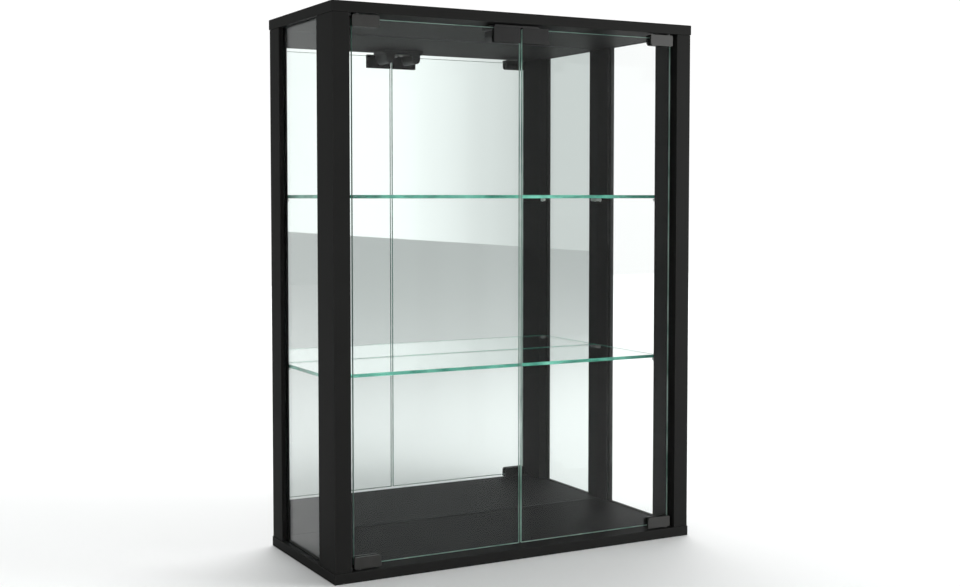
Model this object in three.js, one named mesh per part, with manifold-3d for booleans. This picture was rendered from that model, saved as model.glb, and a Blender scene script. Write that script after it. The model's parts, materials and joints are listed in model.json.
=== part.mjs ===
// China cabinet with two frameless glass doors, glass sides, two glass shelves and a mirrored back.
// Units are millimetres. X runs to the right, Y to the back and Z up.
// The origin is the centre of the underside, so the doors are at negative Y.
import * as THREE from "three";
import { mergeVertices } from "three/addons/utils/BufferGeometryUtils.js";
import Module from "manifold-3d";

const wasm = await Module();
wasm.setup();

// ---- Driving dimensions -------------------------------------------------------------------

const width = 600;
const depth = 250;
const height = 800;
const boardThickness = 15;

const reveal = 1; // how far the posts stand back from the edges of the boards
const frontPostWidth = 25;
const frontPostDepth = 59;
const backPostWidth = 15;
const backPostDepth = 39;

const fit = 0.3; // gap kept around every piece that sits in a groove or a hole
const glassThickness = 4;
const paneCentre = 290; // distance of each side pane's middle from the cabinet's middle
const postGroove = 8; // depth of the groove in each post
const boardGroove = 6; // depth of the groove in each board

const mirrorFront = 113;
const mirrorThickness = 3;
const mirrorHalfWidth = 288;
const backPanelThickness = 3;
const backPanelHalfWidth = 292;

const shelfThickness = 5;
const shelfHalfWidth = 282;
const shelfFront = -63;
const shelfBack = 112;
const shelfUndersides = { lower: 277, upper: 532 };

const pinRadius = 2.5;
const pinCollarRadius = 3.5;
const pinCollar = 1; // thickness of the collar
const pinReach = 7; // how far the pin runs under the shelf, past its collar
const pinShank = 8; // length of the part inside the post
const pinChamfer = 0.5;
const pinDrop = pinRadius + fit; // the pin's axis below the shelf's underside
const frontPinX = 279.5;
const backPinY = 105;

const doorFront = -115.5; // front face of the door glass
const doorInner = 1.5; // half of the gap between the two doors
const doorOuter = 267.5;
const doorGap = 6.5; // between the glass and the boards, top and bottom

const clampInner = 227.5;
const clampOuter = 268.3;
const clampHeight = 16.5;
const clampWall = 3.9;
const clampToBoard = 2;
const clampCorners = [4.5, 2.5, 2, 2]; // lower inner, lower outer, upper outer, upper inner
const linerThickness = 0.7;
const linerPlay = 0.1;
const linerInset = 1; // how far the liner stays inside the clamp's outline
const pivotX = 261.5;
const pivotRadius = 2.4;
const pivotLength = 10.5; // above the clamp
const pivotRoot = 0.5; // how far the pin runs into the clamp's body
const pivotChamfer = 0.5;
const clampScrewX = 243;
const clampScrewRadius = 2.4;
const clampSocketRadius = 1.3; // of the hexagon socket, to its corners
const clampSocketDepth = 2;

const bushRadius = 3.9;
const bushDepth = 10.5; // of the part inside the board
const bushFlangeRadius = 5.4;

const strikeInner = 2;
const strikeOuter = 46;
const strikeHeight = 21;
const strikeWall = 1.5;
const strikeCorner = 1;

const plungerX = 24;
const plungerZ = 770.5;
const plungerRadius = 4;
const plungerLength = 30;
const plungerWall = 3; // between the magnet and the hollow behind it
const magnetRadius = 2.8;
const magnetThickness = 2;
const magnetProud = 0.3; // how far the magnet stands out of the plunger
const springRadius = 2.2;
const springWire = 0.35;
const springTurns = 9;
const springSteps = 14; // straight pieces in each turn

const latchFront = -104; // front face of the housing
const latchHalfWidth = 37;
const latchDepth = 42;
const latchEndWall = 3; // behind the bores
const latchLowerCorner = 3;
const latchUpperCorner = 0.5;
const latchPlate = 7; // thickness of the part that lies against the top board
const barrelRadius = 8;
const barrelCorner = 0.1; // keeps a barrel's straight sides and its corners apart
const latchScrewRadius = 1.6;
const latchScrewHeadRadius = 3.4;
const latchScrewHeadHeight = 2.2;
const latchScrewHeadRound = 1;
const latchScrewReach = 9.5; // into the top board
const latchScrewTip = 2;
const latchScrewInset = 10; // from the front and the back of the housing
const latchPilotDepth = 10;

const screwHeadRadius = 4.8;
const screwHeadDepth = 1;
const screwHeadCone = 3;
const screwSocketRadius = 2.1;
const screwSocketDepth = 2.5;
const screwBodyRadius = 3.3; // through the board
const screwThreadRadius = 2.4; // in the post
const screwLength = 48;
const screwTip = 2;
const screwStep = 1; // length of the step from body to thread
const screwSunk = 0.5; // below the face of the board
const frontScrewSetback = 24.8; // from the front of the front post
const backScrewSetback = 19; // from the front of the back post

const round = 24; // facets of a turned piece
const through = 1; // how far a cutting tool runs past the face it cuts
const weld = 1e-4; // points closer than this are one point

// ---- Places worked out from them ----------------------------------------------------------

const halfWidth = width / 2;
const halfDepth = depth / 2;
const floor = boardThickness;
const ceiling = height - boardThickness;
const postOuter = halfWidth - reveal;
const frontPostInner = postOuter - frontPostWidth;
const frontPostFront = reveal - halfDepth;
const frontPostBack = frontPostFront + frontPostDepth;
const backPostInner = postOuter - backPostWidth;
const backPostBack = halfDepth - reveal;
const backPostFront = backPostBack - backPostDepth;
const paneInner = paneCentre - glassThickness / 2;
const paneOuter = paneCentre + glassThickness / 2;
const mirrorBack = mirrorFront + mirrorThickness;
const doorBack = doorFront + glassThickness;
const doorTop = ceiling - doorGap;
const clampTop = ceiling - clampToBoard;
const pivotY = (doorFront + doorBack) / 2;
const linerFront = doorFront - linerPlay - linerThickness;
const linerBack = doorBack + linerPlay + linerThickness;
const linerTop = doorTop + linerPlay + linerThickness;
const slotFront = linerFront - linerPlay;
const slotBack = linerBack + linerPlay;
const strikeFront = doorFront - fit - strikeWall;
const strikeBack = doorBack + fit + strikeWall;
const magnetFront = strikeBack + fit;
const plungerFront = magnetFront + magnetProud;
const plungerBack = plungerFront + plungerLength;
const latchBack = latchFront + latchDepth;
const boreEnd = latchBack - latchEndWall;
const hollowEnd = magnetFront + magnetThickness + fit + plungerWall;
const latchTop = ceiling - fit;
const screwPlaces = {
  front: [(frontPostInner + postOuter) / 2, frontPostFront + frontScrewSetback],
  back: [(backPostInner + postOuter) / 2, backPostFront + backScrewSetback],
};

// ---- Materials ----------------------------------------------------------------------------

const finish = (colour, roughness, metalness, opacity = 1) =>
  new THREE.MeshStandardMaterial({
    color: colour,
    roughness,
    metalness,
    opacity,
    transparent: opacity < 1,
  });

const blackFoil = finish(0x262625, 0.55, 0);
const clearGlass = finish(0xdfeee9, 0.02, 0, 0.2);
const shelfGlass = finish(0x8fd0bc, 0.02, 0, 0.35);
const mirrorGlass = finish(0xe8ecea, 0.02, 1);
const hardboard = finish(0x2c2b29, 0.8, 0);
const blackZinc = finish(0x3b3b39, 0.45, 0.3);
const blackSteel = finish(0x2a2a2a, 0.35, 0.6);
const nickel = finish(0xd8d8d4, 0.2, 1);
const zincPlate = finish(0xb8b8b0, 0.35, 1);
const linerPlastic = finish(0x1b1b1b, 0.8, 0);
const blackPlastic = finish(0x1f1f1f, 0.5, 0);
const whitePlastic = finish(0xe9e9e4, 0.3, 0);

// ---- Shapes -------------------------------------------------------------------------------

// A box between two values on each axis.
const block = (x0, x1, y0, y1, z0, z1) =>
  new THREE.BoxGeometry(x1 - x0, y1 - y0, z1 - z0).translate(
    (x0 + x1) / 2,
    (y0 + y1) / 2,
    (z0 + z1) / 2,
  );

// A solid turned about the Z axis from [radius, level] points that run upwards.
const turned = (profile) =>
  new THREE.LatheGeometry(
    profile.map(([radius, level]) => new THREE.Vector2(radius, level)),
    round,
  ).rotateX(Math.PI / 2);

// A plain rod along Z from one level to another.
const rod = (radius, from, to) =>
  turned([
    [0, from],
    [radius, from],
    [radius, to],
    [0, to],
  ]);

// A six-sided key hole along Z from one level to another.
const hexagon = (radius, from, to) =>
  new THREE.CylinderGeometry(radius, radius, to - from, 6)
    .rotateX(Math.PI / 2)
    .translate(0, 0, (from + to) / 2);

// A plate that faces the front, with its own radius at each corner, between two values of Y.
// The corners go round as lower inner, lower outer, upper outer, upper inner.
const plate = (x0, x1, z0, z1, corners, y0, y1) => {
  const [a, b, c, d] = corners;
  const quarter = Math.PI / 2;
  const shape = new THREE.Shape()
    .moveTo(x0 + a, z0)
    .lineTo(x1 - b, z0)
    .absarc(x1 - b, z0 + b, b, -quarter, 0, false)
    .lineTo(x1, z1 - c)
    .absarc(x1 - c, z1 - c, c, 0, quarter, false)
    .lineTo(x0 + d, z1)
    .absarc(x0 + d, z1 - d, d, quarter, 2 * quarter, false)
    .lineTo(x0, z0 + a)
    .absarc(x0 + a, z0 + a, a, 2 * quarter, 3 * quarter, false);
  return new THREE.ExtrudeGeometry(shape, {
    depth: y1 - y0,
    bevelEnabled: false,
    curveSegments: 6,
  })
    .rotateX(quarter)
    .translate(0, y1, 0);
};

// A shape made along +Z is laid along +Y or +X and put in place.
const along = {
  x: (geometry, x, y, z) => geometry.rotateY(Math.PI / 2).translate(x, y, z),
  y: (geometry, x, y, z) => geometry.rotateX(-Math.PI / 2).translate(x, y, z),
  z: (geometry, x, y, z) => geometry.translate(x, y, z),
};

// ---- Joining and cutting ------------------------------------------------------------------

const toSolid = (geometry) => {
  const plain = geometry.clone();
  plain.deleteAttribute("normal");
  plain.deleteAttribute("uv");
  const merged = mergeVertices(plain, weld);
  return new wasm.Manifold(
    new wasm.Mesh({
      numProp: 3,
      vertProperties: new Float32Array(merged.attributes.position.array),
      triVerts: new Uint32Array(merged.index.array),
    }),
  );
};

const toGeometry = (solid) => {
  const mesh = solid.getMesh();
  return new THREE.BufferGeometry()
    .setAttribute("position", new THREE.BufferAttribute(mesh.vertProperties, 3))
    .setIndex(new THREE.BufferAttribute(mesh.triVerts, 1));
};

const cut = (body, tools) =>
  toGeometry(tools.reduce((left, tool) => left.subtract(toSolid(tool)), toSolid(body)));

const join = (first, others) =>
  toGeometry(others.reduce((sum, other) => sum.add(toSolid(other)), toSolid(first)));

// ---- The scene graph ----------------------------------------------------------------------

const cabinet = new THREE.Group();

const add = (name, geometry, material) => {
  const mesh = new THREE.Mesh(geometry, material);
  mesh.name = name;
  cabinet.add(mesh);
  return mesh;
};

const sides = { right: 1, left: -1 };
const levels = { top: 1, bottom: -1 };

// A piece drawn on the right, and its mirror image on the left.
const addPair = (name, geometry, material) => {
  for (const [side, across] of Object.entries(sides))
    add(`${name}_${side}`, geometry, material).scale.x = across;
};

// A piece drawn at the upper right, and its mirror images at the other three corners.
const addFour = (name, geometry, material) => {
  for (const [level, up] of Object.entries(levels))
    for (const [side, across] of Object.entries(sides)) {
      const mesh = add(`${name}_${level}_${side}`, geometry, material);
      mesh.scale.set(across, 1, up);
      mesh.position.z = up > 0 ? 0 : height;
    }
};

// ---- Boards, posts and the screws that join them ------------------------------------------

// The screw stands head up with the top of its head at level 0. "grow" makes it a cutting tool.
const screwShape = (grow, top) =>
  turned([
    [0, -screwLength - grow],
    [screwThreadRadius + grow, -screwLength + screwTip - grow],
    [screwThreadRadius + grow, -boardThickness],
    [screwBodyRadius + grow, -boardThickness + screwStep],
    [screwBodyRadius + grow, -screwHeadDepth - screwHeadCone - grow],
    [screwHeadRadius + grow, -screwHeadDepth - grow],
    [screwHeadRadius + grow, top],
    [0, top],
  ]);

const atScrew = (geometry, [x, y]) => geometry.translate(x, y, height - screwSunk);

const screwSocket = hexagon(screwSocketRadius, -screwSocketDepth, through);

const postScrew = (place) => atScrew(cut(screwShape(0, 0), [screwSocket]), place);

const screwHole = (place) => atScrew(screwShape(fit, through), place);

// The groove that a side pane stands in, cut at the top. It also runs into both posts.
const paneGroove = block(
  paneInner - fit,
  paneOuter + fit,
  frontPostBack - postGroove - fit,
  backPostFront + postGroove + fit,
  floor - boardGroove,
  ceiling + boardGroove,
);

const bushHole = rod(bushRadius + fit, ceiling - through, ceiling + bushDepth + fit).translate(
  pivotX,
  pivotY,
  0,
);

// The tool's mirror image. Manifold turns the faces round by itself.
const mirrored = (solid) => solid.mirror([1, 0, 0]);

// A full board at the top, with the same cuts at both ends.
const board = (extraTools) => {
  const halfTools = [paneGroove, bushHole, ...Object.values(screwPlaces).map(screwHole)];
  const right = halfTools.map(toSolid);
  const tools = [...right, ...right.map(mirrored), ...extraTools.map(toSolid)];
  const blank = block(-halfWidth, halfWidth, -halfDepth, halfDepth, ceiling, height);
  return toGeometry(tools.reduce((left, tool) => left.subtract(tool), toSolid(blank)));
};

const latchScrewPlaces = {
  front: latchFront + latchScrewInset,
  back: latchBack - latchScrewInset,
};
const latchPilot = (y) =>
  rod(latchScrewRadius + fit, ceiling - through, ceiling + latchPilotDepth).translate(0, y, 0);

add("top_board", board(Object.values(latchScrewPlaces).map(latchPilot)), blackFoil);

const bottomBoard = add("bottom_board", board([]), blackFoil);
bottomBoard.scale.z = -1;
bottomBoard.position.z = height;

// Both ends of a post take a screw, so its tools come at the top and upside down at the bottom.
const post = (x0, y0, y1, place, extraTools) => {
  const hole = toSolid(screwHole(place));
  const other = hole.mirror([0, 0, 1]).translate([0, 0, height]);
  const tools = [hole, other, ...extraTools.map(toSolid)];
  const blank = block(x0, postOuter, y0, y1, floor + fit, ceiling - fit);
  return toGeometry(tools.reduce((left, tool) => left.subtract(tool), toSolid(blank)));
};

const pinLevels = Object.values(shelfUndersides).map((underside) => underside - pinDrop);

const pinHole = (axis, x, y) => (level) =>
  along[axis](rod(pinRadius + fit, -pinShank - fit, through), x, y, level);

const frontPinHoles = pinLevels.map(pinHole("y", frontPinX, frontPostBack));

const backPinHoles = pinLevels.map((level) =>
  along.x(rod(pinRadius + fit, -through, pinShank + fit), backPostInner, backPinY, level),
);

addPair(
  "front_post",
  post(frontPostInner, frontPostFront, frontPostBack, screwPlaces.front, [
    paneGroove,
    ...frontPinHoles,
  ]),
  blackFoil,
);

// The mirror and the back panel lie in a rebate that is open to the back.
const backRebate = block(
  backPostInner - through,
  backPanelHalfWidth + fit,
  mirrorFront - fit,
  halfDepth + through,
  0,
  height,
);

addPair(
  "back_post",
  post(backPostInner, backPostFront, backPostBack, screwPlaces.back, [
    paneGroove,
    backRebate,
    ...backPinHoles,
  ]),
  blackFoil,
);

for (const [place, centre] of Object.entries(screwPlaces))
  addFour(`${place}_post_screw`, postScrew(centre), zincPlate);

// ---- Side panes, mirror and back panel ----------------------------------------------------

addPair(
  "side_glass",
  block(
    paneInner,
    paneOuter,
    frontPostBack - postGroove,
    backPostFront + postGroove,
    floor - boardGroove + fit,
    ceiling + boardGroove - fit,
  ),
  clearGlass,
);

add(
  "mirror",
  block(-mirrorHalfWidth, mirrorHalfWidth, mirrorFront, mirrorBack, floor + fit, ceiling - fit),
  mirrorGlass,
);

add(
  "back_panel",
  block(
    -backPanelHalfWidth,
    backPanelHalfWidth,
    mirrorBack + fit,
    mirrorBack + fit + backPanelThickness,
    floor + fit,
    ceiling - fit,
  ),
  hardboard,
);

// ---- Shelves and the pins under them ------------------------------------------------------

// A pin points along +Z, with the back of its collar at level 0 against the post.
const pin = turned([
  [0, -pinShank],
  [pinRadius - pinChamfer, -pinShank],
  [pinRadius, pinChamfer - pinShank],
  [pinRadius, fit],
  [pinCollarRadius, fit],
  [pinCollarRadius, fit + pinCollar],
  [pinRadius, fit + pinCollar],
  [pinRadius, fit + pinCollar + pinReach - pinChamfer],
  [pinRadius - pinChamfer, fit + pinCollar + pinReach],
  [0, fit + pinCollar + pinReach],
]);

for (const [level, underside] of Object.entries(shelfUndersides)) {
  const axis = underside - pinDrop;
  add(
    `${level}_shelf`,
    block(
      -shelfHalfWidth,
      shelfHalfWidth,
      shelfFront,
      shelfBack,
      underside,
      underside + shelfThickness,
    ),
    shelfGlass,
  );
  addPair(
    `${level}_shelf_pin_front`,
    along.y(pin.clone(), frontPinX, frontPostBack, axis),
    whitePlastic,
  );
  addPair(
    `${level}_shelf_pin_back`,
    along.x(pin.clone(), 0, 0, 0).rotateZ(Math.PI).translate(backPostInner, backPinY, axis),
    whitePlastic,
  );
}

// ---- Doors --------------------------------------------------------------------------------

addPair(
  "door_glass",
  block(doorInner, doorOuter, doorFront, doorBack, height - doorTop, doorTop),
  clearGlass,
);

// The clamp grips the glass in a slot that is open below and at both ends.
const clampBody = plate(
  clampInner,
  clampOuter,
  clampTop - clampHeight,
  clampTop,
  clampCorners,
  slotFront - clampWall,
  slotBack + clampWall,
);
const clampSlot = block(
  clampInner - through,
  clampOuter + through,
  slotFront,
  slotBack,
  clampTop - clampHeight - through,
  linerTop + linerPlay,
);
const clampScrewZ = clampTop - clampHeight / 2;
const clampScrewHole = along.y(
  rod(clampScrewRadius + fit, -through, clampWall + through),
  clampScrewX,
  slotBack,
  clampScrewZ,
);
const pivotPin = turned([
  [0, -pivotRoot],
  [pivotRadius, -pivotRoot],
  [pivotRadius, pivotLength - pivotChamfer],
  [pivotRadius - pivotChamfer, pivotLength],
  [0, pivotLength],
]).translate(pivotX, pivotY, clampTop);

addFour(
  "hinge_clamp",
  join(cut(clampBody, [clampSlot, clampScrewHole]), [pivotPin]),
  blackZinc,
);

// The liner is a soft channel folded over the edge of the glass.
const linerInner = clampInner + linerInset;
const linerOuter = clampOuter - linerInset;
const linerLow = clampTop - clampHeight + linerInset;
addFour(
  "clamp_liner",
  cut(block(linerInner, linerOuter, linerFront, linerBack, linerLow, linerTop), [
    block(
      linerInner - through,
      linerOuter + through,
      doorFront - linerPlay,
      doorBack + linerPlay,
      linerLow - through,
      doorTop + linerPlay,
    ),
  ]),
  linerPlastic,
);

// A set screw presses the liner against the glass from the inside of the cabinet.
addFour(
  "clamp_screw",
  along.y(
    cut(rod(clampScrewRadius, linerPlay, clampWall + linerPlay), [
      hexagon(clampSocketRadius, clampWall - clampSocketDepth, clampWall + through),
    ]),
    clampScrewX,
    slotBack,
    clampScrewZ,
  ),
  blackSteel,
);

// The bush is a cup with a flange that also carries the clamp.
const bushFlangeLow = clampTop + fit;
const bushFlangeTop = ceiling - fit;
addFour(
  "pivot_bush",
  turned([
    [pivotRadius + fit, bushFlangeLow],
    [bushFlangeRadius, bushFlangeLow],
    [bushFlangeRadius, bushFlangeTop],
    [bushRadius, bushFlangeTop],
    [bushRadius, ceiling + bushDepth],
    [0, ceiling + bushDepth],
    [0, clampTop + pivotLength + fit],
    [pivotRadius + fit, clampTop + pivotLength + fit],
    [pivotRadius + fit, bushFlangeLow],
  ]).translate(pivotX, pivotY, 0),
  blackPlastic,
);

// The strike is a steel channel that hangs over the top edge of the glass.
addPair(
  "strike_plate",
  cut(
    plate(
      strikeInner,
      strikeOuter,
      doorTop - strikeHeight,
      doorTop + fit + strikeWall,
      [strikeCorner, strikeCorner, strikeCorner, strikeCorner],
      strikeFront,
      strikeBack,
    ),
    [
      block(
        strikeInner - through,
        strikeOuter + through,
        doorFront - fit,
        doorBack + fit,
        doorTop - strikeHeight - through,
        doorTop + fit,
      ),
    ],
  ),
  blackSteel,
);

// ---- Magnetic push latch under the top board ----------------------------------------------

const barrel = (x) =>
  plate(
    x - barrelRadius,
    x + barrelRadius,
    plungerZ - barrelRadius,
    latchTop - latchPlate + through,
    [barrelRadius - barrelCorner, barrelRadius - barrelCorner, barrelCorner, barrelCorner],
    latchFront,
    latchBack,
  );
const plungerBore = (x) =>
  along.y(
    rod(plungerRadius + fit, latchFront - through, boreEnd),
    x,
    0,
    plungerZ,
  );
const latchScrewHole = (y) =>
  rod(latchScrewRadius + fit, latchTop - latchPlate - through, latchTop + through).translate(0, y, 0);

add(
  "latch_housing",
  cut(
    join(
      plate(
        -latchHalfWidth,
        latchHalfWidth,
        latchTop - latchPlate,
        latchTop,
        [latchLowerCorner, latchLowerCorner, latchUpperCorner, latchUpperCorner],
        latchFront,
        latchBack,
      ),
      [barrel(plungerX), barrel(-plungerX)],
    ),
    [
      plungerBore(plungerX),
      plungerBore(-plungerX),
      ...Object.values(latchScrewPlaces).map(latchScrewHole),
    ],
  ),
  blackPlastic,
);

const latchHeadSeat = latchTop - latchPlate - fit;
const latchHeadLow = latchHeadSeat - latchScrewHeadHeight;
for (const [place, y] of Object.entries(latchScrewPlaces))
  add(
    `latch_screw_${place}`,
    turned([
      [0, latchHeadLow],
      [latchScrewHeadRadius - latchScrewHeadRound, latchHeadLow],
      [latchScrewHeadRadius, latchHeadSeat - latchScrewHeadRound],
      [latchScrewHeadRadius, latchHeadSeat],
      [latchScrewRadius, latchHeadSeat],
      [latchScrewRadius, ceiling + latchScrewReach - latchScrewTip],
      [0, ceiling + latchScrewReach],
    ]).translate(0, y, 0),
    zincPlate,
  );

// The plunger is hollow from the back, where the spring pushes, and holds a magnet at its tip.
addPair(
  "latch_plunger",
  along.y(
    cut(rod(plungerRadius, plungerFront, plungerBack), [
      rod(springRadius + springWire + fit, hollowEnd, plungerBack + through),
      rod(magnetRadius + fit, plungerFront - through, magnetFront + magnetThickness + fit),
    ]),
    plungerX,
    0,
    plungerZ,
  ),
  blackPlastic,
);

addPair(
  "plunger_magnet",
  along.y(
    rod(magnetRadius, magnetFront, magnetFront + magnetThickness),
    plungerX,
    0,
    plungerZ,
  ),
  nickel,
);

// A helix along Z from one level to another, for the spring's wire.
class Helix extends THREE.Curve {
  constructor(radius, turns, from, to) {
    super();
    Object.assign(this, { radius, turns, from, to });
  }

  getPoint(share, target = new THREE.Vector3()) {
    const angle = share * this.turns * 2 * Math.PI;
    return target.set(
      this.radius * Math.cos(angle),
      this.radius * Math.sin(angle),
      this.from + share * (this.to - this.from),
    );
  }
}

const springStart = hollowEnd + fit + springWire;
const springEnd = boreEnd - fit - springWire;
const wireSection = new THREE.Shape().absarc(0, 0, springWire, 0, 2 * Math.PI, false);
addPair(
  "latch_spring",
  along.y(
    new THREE.ExtrudeGeometry(wireSection, {
      extrudePath: new Helix(springRadius, springTurns, springStart, springEnd),
      steps: springTurns * springSteps,
      curveSegments: 3,
      bevelEnabled: false,
    }),
    plungerX,
    0,
    plungerZ,
  ),
  nickel,
);

export default cabinet;
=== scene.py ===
# %% [markdown]
# # A china cabinet with glass doors, finished in Blender
#
# The cabinet comes in as a fixed frame: every board, pane and hinge already has its place and
# size. This script gives each piece what a shop sees up close: eased edges, polished glass
# edges, threads on the screws, and a surface that is never one flat colour.

# %% Load the frame
import json
import math
from collections import namedtuple

import bmesh
import bpy
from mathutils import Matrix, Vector


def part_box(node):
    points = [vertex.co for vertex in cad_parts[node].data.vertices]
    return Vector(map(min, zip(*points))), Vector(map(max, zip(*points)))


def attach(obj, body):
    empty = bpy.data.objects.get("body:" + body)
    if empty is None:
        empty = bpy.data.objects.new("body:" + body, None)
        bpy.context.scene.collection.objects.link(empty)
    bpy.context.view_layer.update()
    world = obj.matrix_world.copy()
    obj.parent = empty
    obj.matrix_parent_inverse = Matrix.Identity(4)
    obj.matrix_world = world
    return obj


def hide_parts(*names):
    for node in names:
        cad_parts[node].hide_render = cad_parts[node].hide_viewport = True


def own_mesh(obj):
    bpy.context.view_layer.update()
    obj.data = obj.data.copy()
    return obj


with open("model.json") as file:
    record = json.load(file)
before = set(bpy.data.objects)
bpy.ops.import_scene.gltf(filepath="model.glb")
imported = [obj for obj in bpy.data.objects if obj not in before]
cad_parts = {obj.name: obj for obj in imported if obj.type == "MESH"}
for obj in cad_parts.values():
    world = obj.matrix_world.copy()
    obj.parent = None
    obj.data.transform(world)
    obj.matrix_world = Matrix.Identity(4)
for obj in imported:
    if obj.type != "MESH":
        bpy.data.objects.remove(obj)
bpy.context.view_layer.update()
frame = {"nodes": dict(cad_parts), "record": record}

MM = 0.001
cad_nodes = frame["nodes"]
record = frame["record"]
slot_of = {row["node"]: row["material_slot"] for row in record["subparts"]}
body_of = {}
for body, names in record["behaviour"]["bodies"].items():
    for name in names:
        body_of[name] = body
SIDES = ("left", "right")
LEVELS = ("top", "bottom")

# %% [markdown]
# ## Camera and studio
#
# The cabinet is seen from its left front, from about the height of the upper shelf. A lens a
# little longer than normal keeps the posts nearly upright. A studio photographer would shift the
# lens a little too, so the camera does the same, by a thirtieth of the picture's width.

# %% Camera
CAMERA_PLACE = Vector((-1.0114, -1.8631, 0.5344))
CAMERA_HEADING = math.radians(28.36)
CAMERA_DIP = math.radians(2.82)
CAMERA_LENS = 51.585  # millimetres, on a sensor 36 mm wide
CAMERA_SHIFT = -0.0302

camera = bpy.data.objects.new("camera", bpy.data.cameras.new("camera"))
bpy.context.scene.collection.objects.link(camera)
bpy.context.scene.camera = camera
camera.data.sensor_width = 36
camera.data.lens = CAMERA_LENS
camera.data.shift_y = CAMERA_SHIFT
looking = Vector((
    math.sin(CAMERA_HEADING) * math.cos(CAMERA_DIP),
    math.cos(CAMERA_HEADING) * math.cos(CAMERA_DIP),
    -math.sin(CAMERA_DIP),
))
camera.location = CAMERA_PLACE
camera.rotation_euler = looking.to_track_quat("-Z", "Y").to_euler()
print("the camera looks along", [round(part, 3) for part in looking])

# %% [markdown]
# Glass has no colour of its own to show, so it is lit by what surrounds it. The room is white
# behind the cabinet. Elsewhere it has light grey walls under a darker ceiling, so that black
# boards stay black and the panes stay clear. The mirror shows the room in front: there a tall pale
# window breaks up the grey.
# Glass and a mirror also need more bounces than usual, because a ray may pass a door, a shelf, the
# mirror, the shelf and the door again before it reaches a light.

# %% Room
CEILING_TONE = (0.50, 0.515, 0.51, 1)
WALL_TONE = (0.72, 0.74, 0.732, 1)
ROOM_WHITE = (1.05, 1.05, 1.05, 1)
WINDOW_TONE = (1.22, 1.25, 1.24, 1)
WINDOW_X = 0.385
WINDOW_SIDES = (0.13, 0.02)
CEILING_TO_WALL = (0.42, 0.22)
WALL_TO_WHITE = (0.68, 0.90)
BOUNCES = 24

scene = bpy.context.scene
scene.view_settings.view_transform = "Standard"
scene.cycles.max_bounces = BOUNCES
scene.cycles.transmission_bounces = BOUNCES
scene.cycles.glossy_bounces = BOUNCES // 2

world = bpy.data.worlds.new("room")
scene.world = world
world.use_nodes = True
sky = world.node_tree


def ramp_between(value, start, end):
    """A smooth step from 0 at start to 1 at end."""
    ramp = sky.nodes.new("ShaderNodeMapRange")
    ramp.interpolation_type = "SMOOTHSTEP"
    ramp.inputs["From Min"].default_value = start
    ramp.inputs["From Max"].default_value = end
    sky.links.new(value, ramp.inputs["Value"])
    return ramp.outputs["Result"]


def blend_tones(share, first, second):
    """A mix of two tones, where the first may come from another mix."""
    mix = sky.nodes.new("ShaderNodeMix")
    mix.data_type = "RGBA"
    sky.links.new(share, mix.inputs[0])
    if isinstance(first, bpy.types.NodeSocket):
        sky.links.new(first, mix.inputs[6])
    else:
        mix.inputs[6].default_value = first
    mix.inputs[7].default_value = second
    return mix.outputs[2]


direction = sky.nodes.new("ShaderNodeTexCoord").outputs["Generated"]
split = sky.nodes.new("ShaderNodeSeparateXYZ")
sky.links.new(direction, split.inputs[0])
aside = sky.nodes.new("ShaderNodeMath")
aside.operation = "SUBTRACT"
sky.links.new(split.outputs["X"], aside.inputs[0])
aside.inputs[1].default_value = WINDOW_X
distance = sky.nodes.new("ShaderNodeMath")
distance.operation = "ABSOLUTE"
sky.links.new(aside.outputs[0], distance.inputs[0])
room_tones = blend_tones(ramp_between(split.outputs["Z"], *CEILING_TO_WALL), CEILING_TONE, WALL_TONE)
beside_window = ramp_between(distance.outputs[0], *WINDOW_SIDES)
with_window = blend_tones(beside_window, room_tones, WINDOW_TONE)

ahead = sky.nodes.new("ShaderNodeVectorMath")
ahead.operation = "DOT_PRODUCT"
sky.links.new(direction, ahead.inputs[0])
ahead.inputs[1].default_value = (math.sin(CAMERA_HEADING), math.cos(CAMERA_HEADING), 0)
behind = ramp_between(ahead.outputs["Value"], *WALL_TO_WHITE)
walls = blend_tones(behind, with_window, ROOM_WHITE)
sky.links.new(walls, sky.nodes["Background"].inputs["Color"])

# %% [markdown]
# Three soft panels light the boards. The key panel stands low on the right and grazes the front,
# outside the strip that the doors and the mirror reflect, so no panel shows in the glass. Its beam
# is narrow, so that it lights the cabinet more than the floor in front. The other two hang over the
# floor, the largest one behind the cabinet.

# %% Lights
def softbox(name, place, aim, width, height, watts, spread=180):
    """A soft rectangular light that faces a point. The spread of its beam is in degrees."""
    lamp = bpy.data.lights.new(name, "AREA")
    lamp.shape = "RECTANGLE"
    lamp.size = width
    lamp.size_y = height
    lamp.energy = watts
    lamp.spread = math.radians(spread)
    holder = bpy.data.objects.new(name, lamp)
    scene.collection.objects.link(holder)
    holder.location = place
    holder.rotation_euler = (Vector(aim) - Vector(place)).to_track_quat("-Z", "Y").to_euler()
    return holder


softbox(
    "key_softbox",
    place=(2.9, -2.1, 0.75),
    aim=(0, 0, 0.45),
    width=1.4,
    height=1.2,
    watts=12,
    spread=50,
)
softbox(
    "top_softbox",
    place=(0.8, 1.5, 2.9),
    aim=(0.8, 1.5, 0),
    width=2.4,
    height=2.0,
    watts=12,
)
softbox(
    "back_floor_softbox",
    place=(3.2, 4.0, 3.6),
    aim=(3.2, 4.0, 0),
    width=9.2,
    height=7.0,
    watts=320,
)

# %% [markdown]
# The floor is one pale sheet. It runs far out to the front and the left. Behind the cabinet it
# ends early, where the room goes on in the same white, so no horizon shows from the front.

# %% Floor
FLOOR_LOW = (-30.0, -30.0)
FLOOR_HIGH = (6.4, 6.0)
FLOOR_DROP = 0.2 * MM
FLOOR_TONE = (0.88, 0.88, 0.88, 1)
FLOOR_ROUGHNESS = 0.7

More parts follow.
